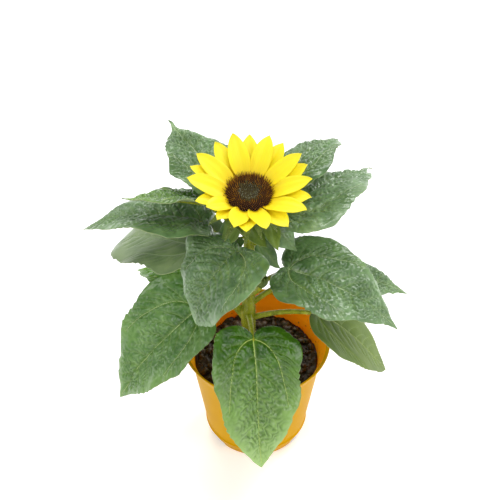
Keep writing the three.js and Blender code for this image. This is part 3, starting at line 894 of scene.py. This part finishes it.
for i in range(PETAL_COUNT):
    level = LOWER_WHORL if i % 2 else UPPER_WHORL
    piece = grow_petal(f"ray_{i + 1:02d}", *petal_posture(i), PETAL_RISE, 6 * math.sin(3 * i), level, i + 5)
    stand_for(piece, "petal", f"petal_{i + 1:02d}")
print("petals reach", round(max(v.co.z for v in piece.data.vertices) / MM), "mm up")

# %% [markdown]
# ## The disc
# The florets sit in spirals: each is turned by the golden angle from the last, which packs them evenly.
# Outer ones are open, dark and pointed, and stand up like a brush. Then comes a ring of rusty ones, and
# the middle is closed, dull green and sunken. Each kind is a small template repeated in one joined mesh,
# with a plain colour of its own.


# %% Repeat a template
def template(shape, **sizes):
    """A small mesh from one bmesh operator."""
    made = bmesh.new()
    getattr(bmesh.ops, "create_" + shape)(made, **sizes)
    return to_mesh("template", made)


def joined_copies(name, shapes, placings, material):
    """One mesh with a copy of a template for each placing in mm, taking the templates in turn."""
    points, faces, offset = [], [], 0
    for i, placing in enumerate(placings):
        shape = shapes[i % len(shapes)]
        points += [placing @ v.co * MM for v in shape.vertices]
        faces += [[k + offset for k in p.vertices] for p in shape.polygons]
        offset += len(shape.vertices)
    mesh = bpy.data.meshes.new(name)
    mesh.from_pydata(points, [], faces)
    return smooth_object(name, mesh, material)


def placing(middle, ahead, scale, spin=0.0):
    """A matrix that puts a template at middle, turns its +Z to ahead and scales it."""
    turn = Vector(ahead).to_track_quat("Z", "Y").to_matrix().to_4x4()
    turn = Matrix.Translation(Vector(middle)) @ turn @ Matrix.Rotation(spin, 4, "Z")
    return turn @ Matrix.Diagonal((*scale, 1))


# %% Floret finishes
def plain_tissue(name, colour, second, size, gloss=0.6, bump=0.3):
    """Plant tissue or earth of two mottled tones. size is that of the mottling in mm."""
    made, shader = new_material(name, roughness=gloss, ior=1.4)
    mottle = noise_field(made, add_node(made, "TexCoord").outputs["Object"], 1 / (size * MM), 4)
    tones = ramp(made, mottle, (0.35, colour), (0.65, second))
    dress(made, shader, tones, mottle, bump, size * 0.4)
    return made


DISC_BED = plain_tissue("disc_bed", "#1C0D08", "#2A140C", 1.0, 0.9)
DARK_FLORET = plain_tissue("dark_floret", "#522C04", "#86560A", 0.8, 0.45)
RUST_FLORET = plain_tissue("rust_floret", "#9A6410", "#C8921E", 1.0, 0.5)
GREEN_FLORET = plain_tissue("closed_floret", "#2E2A12", "#6A6030", 0.8, 0.4)
# Partly the florets' own pale tips, partly painted highlight.
PALE_TIP_AND_GLINT = plain_tissue("floret_tip", "#8A927C", "#B4BAA6", 1.0, 0.35)
DISC_RADIUS = 18.6
FLORETS = 560
OPEN_FROM = 9.5  # mm from the middle, where the open florets begin


def disc_height(r):
    """The disc's profile: a low ring round a sunken middle."""
    return np.interp(r, [0, 4, 9, 13, 16.5, 18, DISC_RADIUS], [-0.6, 0.3, 1.8, 1.9, 0.8, -0.9, -2.5])


# %% The bed that the florets stand on
def disc_place(u, v):
    """A point of the bed, from its middle (0) to its rim (1)."""
    r, a = u * DISC_RADIUS, v * math.pi
    return from_head(np.stack([r * np.cos(a), r * np.sin(a), disc_height(r)], 1))


bed = thicken(make_sheet("disc_bed", 24, 72, disc_place, [DISC_BED]), 1.2)
stand_for(bed, "disc", "flower_disc")

# %% The florets
GOLDEN = math.pi * (3 - math.sqrt(5))
chance = random.Random(11)
dark, rusty, closed, tips_and_glints = [], [], [], []
for k in range(FLORETS):
    r = 18.2 * math.sqrt((k + 0.5) / FLORETS)
    a = k * GOLDEN
    lean = max(0.0, (r - 8) / 10) * 0.75
    out = np.array([math.cos(a), math.sin(a), 0.0])
    stray = np.array([chance.uniform(-0.16, 0.16) for _ in range(3)])
    ahead = unit(np.array([0, 0, 1.0]) + lean * out + stray)
    base = r * out + np.array([0, 0, float(disc_height(r))])
    way = from_head([base + ahead])[0] - from_head([base])[0]
    if r > OPEN_FROM:
        tall = chance.uniform(2.8, 4.4) * (1 if r > 12 else 0.7)
        spot = from_head([base + ahead * tall * 0.42])[0]
        kind = dark if chance.random() > (0.5 if r < 11 else 0.16) else rusty
        kind.append(placing(spot, way, (0.72, 0.72, tall), k))
        continue
    tall = 2.3 if r > 6.5 else 1.7
    spot = from_head([base + ahead * tall * 0.3])[0]
    kind = rusty if r > 7.4 and chance.random() > 0.45 else closed
    kind.append(placing(spot, way, (0.62, 0.62, tall * 0.5), k))
    # Pale specks, more of them on the front half: partly the florets' own pale tips, partly painted
    # highlight.
    if 1.8 < r < 7.5 and chance.random() > (0.35 if math.sin(a) < 0.1 else 0.8):
        spot = from_head([base + ahead * tall * 0.78])[0]
        tips_and_glints.append(placing(spot, way, (0.27, 0.27, 0.27), k))
spike = template("cone", segments=5, radius1=0.62, radius2=0.10, depth=1.0, cap_ends=True)
knob = template("icosphere", subdivisions=1, radius=1.0)
for name, shape, places, finish in (
    ("dark_florets", spike, dark, DARK_FLORET),
    ("rusty_florets", spike, rusty, RUST_FLORET),
    ("closed_florets", knob, closed, GREEN_FLORET),
    ("floret_tips", knob, tips_and_glints, PALE_TIP_AND_GLINT),
):
    stand_for(joined_copies(name, [shape], places, finish), "disc")
print("florets:", len(dark), "dark,", len(rusty), "rusty,", len(closed), "closed")

# %% [markdown]
# ## Bracts
# Below the petals sits a green cup with two rings of pointed, hairy bracts. They show under the front
# petals, from the sides and from below. The cup is spun from its profile. Each bract is a small sheet.


# %% Calyx finish and the cup
def spin_round(profile, steps, scale):
    """A bmesh from a profile of (radius, height) turned once round the Z axis."""
    shape = bmesh.new()
    chain = [shape.verts.new((r * scale, 0, z * scale)) for r, z in profile]
    for a, b in zip(chain, chain[1:]):
        shape.edges.new((a, b))
    turn = {"axis": (0, 0, 1), "cent": (0, 0, 0), "angle": math.tau, "steps": steps, "use_merge": True}
    bmesh.ops.spin(shape, geom=shape.verts[:] + shape.edges[:], **turn)
    return shape


BRACT_SKIN = plain_tissue("bract_skin", "#465A1C", "#66782E", 2.5, 0.55)
CUP_PROFILE = [(5, -17.5), (6.5, -16.5), (10, -14), (14, -11), (16.4, -8), (16.8, -5), (15.5, -3)]  # mm
cup = spin_round(CUP_PROFILE, 60, 1)
bmesh.ops.holes_fill(cup, edges=cup.edges[:], sides=0)
bmesh.ops.transform(cup, matrix=Matrix.Rotation(HEAD_TILT, 4, "X"), verts=cup.verts)
bmesh.ops.translate(cup, vec=Vector(HEAD), verts=cup.verts)
bmesh.ops.scale(cup, vec=(MM, MM, MM), verts=cup.verts)
bmesh.ops.recalc_face_normals(cup, faces=cup.faces)
stand_for(smooth_object("calyx_cup", to_mesh("calyx_cup", cup), BRACT_SKIN), "calyx", "calyx")


# %% The bracts
def grow_bract(name, start, blade, lift, transform=lambda points: points):
    """A pointed bract with a keel and a turned tip."""
    length, width = blade[5:]

    def place(u, v):
        half = bezier(u, 0.34, 0.62, 0.26, 0.0) * width
        height = 0.25 * np.cos(v * 9) * (1 - u) + 0.8 * v * v * (1 - u)
        return transform(on_blade(start, blade, (0, lift, 0, 0), v * half, u * length, height))

    return thicken(make_sheet(name, 18, 8, place, [BRACT_SKIN]), 0.5)


BRACT_COUNT = 26
chance = random.Random(4)
for i in range(BRACT_COUNT):
    bearing = 360 / BRACT_COUNT * i + chance.uniform(-4, 4)
    b = math.radians(bearing)
    if i % 2:  # one of the outer ring, which is long and hangs
        foot, depth, droop = 12.5, -12, 42
        reach = chance.uniform(19, 25)
        pitch = chance.uniform(-14, 8)
    else:
        foot, depth, droop = 14.5, -9, 12
        reach = chance.uniform(12, 16)
        pitch = 30
    start = np.array([math.cos(b) * foot, math.sin(b) * foot, depth])
    blade = (bearing, pitch, droop, chance.uniform(-12, 12), 8, reach, 8.2)
    stand_for(grow_bract(f"bract_{i + 1:02d}", start, blade, chance.uniform(-1, 2), from_head), "calyx")
print("bracts:", BRACT_COUNT)

# %% [markdown]
# ## The side bud
# A second flower bud grows from a leaf's axil on a short shoot. It is a ball of closed bracts, so a small
# ball is wrapped in the same bract sheets, all bent inwards.

# %% Bud and shoot
BUD = np.array([3.4, -10.6, 176.0])
BUD_BRACTS = 12
shoot_line = smooth_line([on_stem(152), [-3.5, -5.5, 158], [1.0, -8.6, 167], BUD - [0, 0, 2]], 24)
shoot = grow_limb("bud_shoot", shoot_line, lambda u, a: 1.9 + 1.0 * u**3 + 0 * a, 40, 16, stem_skin)
stand_for(shoot, "stem")


def bud_place(u, v):
    """A point of the bud's ball, whose face is turned outwards."""
    a, b = -v * math.pi, (u - 0.5) * math.pi
    return BUD + 4.4 * np.stack([np.cos(b) * np.cos(a), np.cos(b) * np.sin(a), 1.05 * np.sin(b)], 1)


stand_for(make_sheet("bud_core", 24, 32, bud_place, [BRACT_SKIN]), "calyx", "side_bud")
for i in range(BUD_BRACTS):
    bearing = 360 / BUD_BRACTS * i + 11
    start = BUD + 3.6 * aim(bearing, -42)
    blade = (bearing, 38, -118 + (i % 3) * 14, 0, 14, 10.5, 6.4)
    stand_for(grow_bract(f"bud_bract_{i + 1:02d}", start, blade, 0), "calyx")
print("bud at", BUD, "mm")

# %% [markdown]
# ## The pot
# It is a thin moulded pot of orange polypropylene with a satin finish. Its profile is spun once round,
# with a rounded lip, a collar that flares and a bevelled foot. Boxes cut the drain notches.

# %% Pot finish: dyed polypropylene, satin from a textured mould
# The inside is coloured a brighter, redder orange than the outside: painted light, for the light that passes
# through the thin wall. Damp soil has left specks.
def pot_material(name, tone, second, dirt, dirt_from, **more):
    """Dyed plastic of two close tones, with specks of dirt where a noise is above dirt_from."""
    skin, shader = new_material(name, roughness=0.46, ior=1.49, specular_ior_level=0.05, **more)
    place = add_node(skin, "TexCoord").outputs["Object"]
    tones = ramp(skin, noise_field(skin, place, 1 / (30 * MM), 3), (0.3, tone), (0.7, second))
    speck = noise_field(skin, place, 1 / (4 * MM), 6)
    spots = ramp(skin, speck, (dirt_from, "#000000"), (dirt_from + 0.05, "#E0E0E0"))
    grain = noise_field(skin, place, 1 / (0.7 * MM), 2)
    dress(skin, shader, mixed(skin, spots, tones, linear(dirt)), grain, 0.12, 0.1)
    return skin


pot_skin = pot_material("orange_polypropylene", "#CB9600", "#D29E00", "#AC7812", 0.70)
# Painted light: the inside's tones are brighter and redder than the outside's, for light that comes through
# the wall.
pot_inside_painted_glow = pot_material(
    "orange_polypropylene_inside_painted_glow",
    "#F8A40E",
    "#FBAE18",
    "#4A2A14",
    0.66,
    subsurface_weight=0.5,
    subsurface_radius=(1.0, 0.65, 0.08),
    subsurface_scale=3 * MM,
)

# %% Spin the pot
FOOT = [(0, 0), (37.4, 0), (38.2, 0.5), (41.4, 9.4), (42.6, 10.8), (42.8, 11.8), (42.0, 12.6)]
COLLAR = [(53.2, 85.2), (53.8, 87.0), (58.2, 96.4), (59.6, 98.2)]
LIP = [(60.0, 99.0), (59.9, 99.7), (59.3, 100.0), (58.6, 99.7), (56.9, 97.0)]
INSIDE = [(52.6, 87.4), (52.0, 86.0), (39.8, 9.6), (38.6, 6.0), (36.4, 1.6), (0, 1.6)]
shell = spin_round(FOOT + COLLAR + LIP + INSIDE, 144, MM)
bmesh.ops.remove_doubles(shell, verts=shell.verts, dist=0.01 * MM)
bmesh.ops.recalc_face_normals(shell, faces=shell.faces)
pot = smooth_object("pot_shell", to_mesh("pot_shell", shell), pot_skin, pot_inside_painted_glow)
for face in pot.data.polygons:
    outward = face.normal.x * face.center.x + face.normal.y * face.center.y
    if outward < 0 and 1.8 * MM < face.center.z < 97.5 * MM:
        face.material_index = 1

# %% Cut the drain notches
DRAIN_NOTCHES = 6
cutters = bmesh.new()
for i in range(DRAIN_NOTCHES):
    bearing = math.radians(33 + 360 / DRAIN_NOTCHES * i)
    turn = Matrix.Rotation(bearing, 4, "Z") @ Matrix.Translation((36 * MM, 0, 0))
    bmesh.ops.create_cube(cutters, size=1, matrix=turn @ Matrix.Diagonal((14 * MM, 19 * MM, 8 * MM, 1)))
rounding = {"offset": 1.2 * MM, "segments": 3, "affect": "EDGES", "profile": 0.5, "material": -1}
bmesh.ops.bevel(cutters, geom=cutters.edges[:], **rounding)
cutter = add_object("notch_cutters", to_mesh("notch_cutters", cutters))
cut = pot.modifiers.new("notches", "BOOLEAN")
cut.object, cut.operation, cut.solver = cutter, "DIFFERENCE", "EXACT"
bpy.context.view_layer.update()
carved = as_shown(pot)
pot.modifiers.clear()
pot.data = carved
carved.set_sharp_from_angle(angle=math.radians(40))
bpy.data.objects.remove(cutter)
stand_for(pot, "pot", "pot")
print("pot faces:", len(carved.polygons))

# %% [markdown]
# ## The soil
# Peat compost is dark brown, crumbly and uneven: clods of 5 to 15 mm with fine crumbs between. The bulk
# is one closed sheet like a plug, with its top pushed up and down by ripples and cells. Loose crumbs of a
# few sizes lie on it.

# %% Soil finish: damp, dark brown peat
PEAT = plain_tissue("peat", "#1E150A", "#382A14", 2.2, 0.5, 0.8)
CRUMB = plain_tissue("peat_crumbs", "#261B0C", "#4A3818", 1.6, 0.42, 0.7)


# %% The plug of soil
def soil_top(x, y):
    """The height of the soil's face in mm, level beside the stem and lower at the wall."""
    r = np.hypot(x, y)
    clods = 3.0 * cells(x + 2 * ripple(x, y, 15, 3), y, 10, 2) ** 0.7 + 1.1 * cells(x, y, 4.5, 5)
    return 78.5 + 3.2 * (1 - (r / 51) ** 4) + clods + 1.3 * ripple(x, y, 40, 6) - 1.2


def soil_place(u, v):
    """A point of the plug: its top from the middle out, then its side, then its underside."""
    a = v * math.pi
    r = np.interp(u, [0, 0.8, 0.85, 0.93, 1], [0, 50.2, 50.0, 38.5, 0])
    x, y = r * np.cos(a), r * np.sin(a)
    z = np.where(u <= 0.8, soil_top(x, y), np.interp(u, [0.8, 0.85, 0.93, 1], [78, 70, 2.5, 2.2]))
    return np.stack([x, y, z], 1)


soil = make_sheet("soil_plug", 110, 220, soil_place, [PEAT])
stand_for(soil, "soil", "soil")

# %% Crumbs
CRUMBS = 950
CLOD_SIZE = 3.4  # mm, from which a crumb is a clod with more faces
chance = random.Random(8)


def rough_lump(seed, subdivisions):
    """A ball of 20 or 80 faces, pushed out of round."""
    lump = bmesh.new()
    bmesh.ops.create_icosphere(lump, subdivisions=subdivisions, radius=1)
    for vert in lump.verts:
        vert.co *= 1 + 0.35 * noise.noise(vert.co * 1.7 + Vector((seed * 9, 0, 0)))
    return to_mesh("lump", lump)


places, clods = [], []
while len(places) < CRUMBS:
    r, a = 49 * math.sqrt(chance.random()), chance.uniform(0, math.tau)
    x, y = r * math.cos(a), r * math.sin(a)
    if math.hypot(x + 6, y) < 8:  # the stem stands here
        continue
    size = chance.uniform(0.6, 1.5) if chance.random() < 0.72 else chance.uniform(1.6, 4.2)
    if r + size > 49.5:
        continue
    z = float(soil_top(np.array([x]), np.array([y]))[0]) + size * 0.35
    way = (chance.uniform(-1, 1), chance.uniform(-1, 1), chance.uniform(0.2, 1))
    scale = (size, size * chance.uniform(0.6, 1), size * chance.uniform(0.5, 0.9))
    kind = clods if size > CLOD_SIZE else places
    kind.append(placing((x, y, z), way, scale, chance.uniform(0, 6)))
crumbs = joined_copies("soil_crumbs", [rough_lump(seed, 1) for seed in range(5)], places, CRUMB)
stand_for(crumbs, "soil")
stand_for(joined_copies("soil_clods", [rough_lump(seed, 2) for seed in range(3)], clods, CRUMB), "soil")
print("crumbs:", len(places), "clods:", len(clods), "faces:", len(crumbs.data.polygons))

# %% [markdown]
# ## Hairs
# Stiff pale hairs of 0.6 to 1.8 mm stand on the stem, the stalks and the bracts. Each is a three-sided
# cone, drawn thicker than a real hair so that it shows at all. All of them are joined into one mesh.

# %% Hair finish and the hairs
HAIR = plain_tissue("stiff_hair", "#C9CDA0", "#DEE0BE", 3, 0.5, 0)
bristle = template("cone", segments=3, radius1=0.09, radius2=0.015, depth=1.0, cap_ends=True)
chance = random.Random(21)


def hairs_on(name, count, longest):
    """Placings of hairs on a finished limb, out from its faces."""
    mesh = bpy.data.objects[name].data
    found = []
    for face in chance.sample(list(mesh.polygons), min(count, len(mesh.polygons))):
        tall = longest * chance.uniform(0.5, 1)
        way = Vector(face.normal) + Vector([chance.uniform(-0.5, 0.5) for _ in range(3)])
        found.append(placing(face.center / MM + way.normalized() * tall * 0.45, way, (1, 1, tall)))
    return found


hair_places = hairs_on("stem_limb", 1500, 1.8) + hairs_on("bud_shoot", 120, 1.4)
for name in LEAVES:
    hair_places += hairs_on(f"limb_{name}", 150, 1.3)
for i in range(BRACT_COUNT):
    hair_places += hairs_on(f"bract_{i + 1:02d}", 24, 1.2)
stand_for(joined_copies("hairs", [bristle], hair_places, HAIR), "stem")
print("hairs:", len(hair_places))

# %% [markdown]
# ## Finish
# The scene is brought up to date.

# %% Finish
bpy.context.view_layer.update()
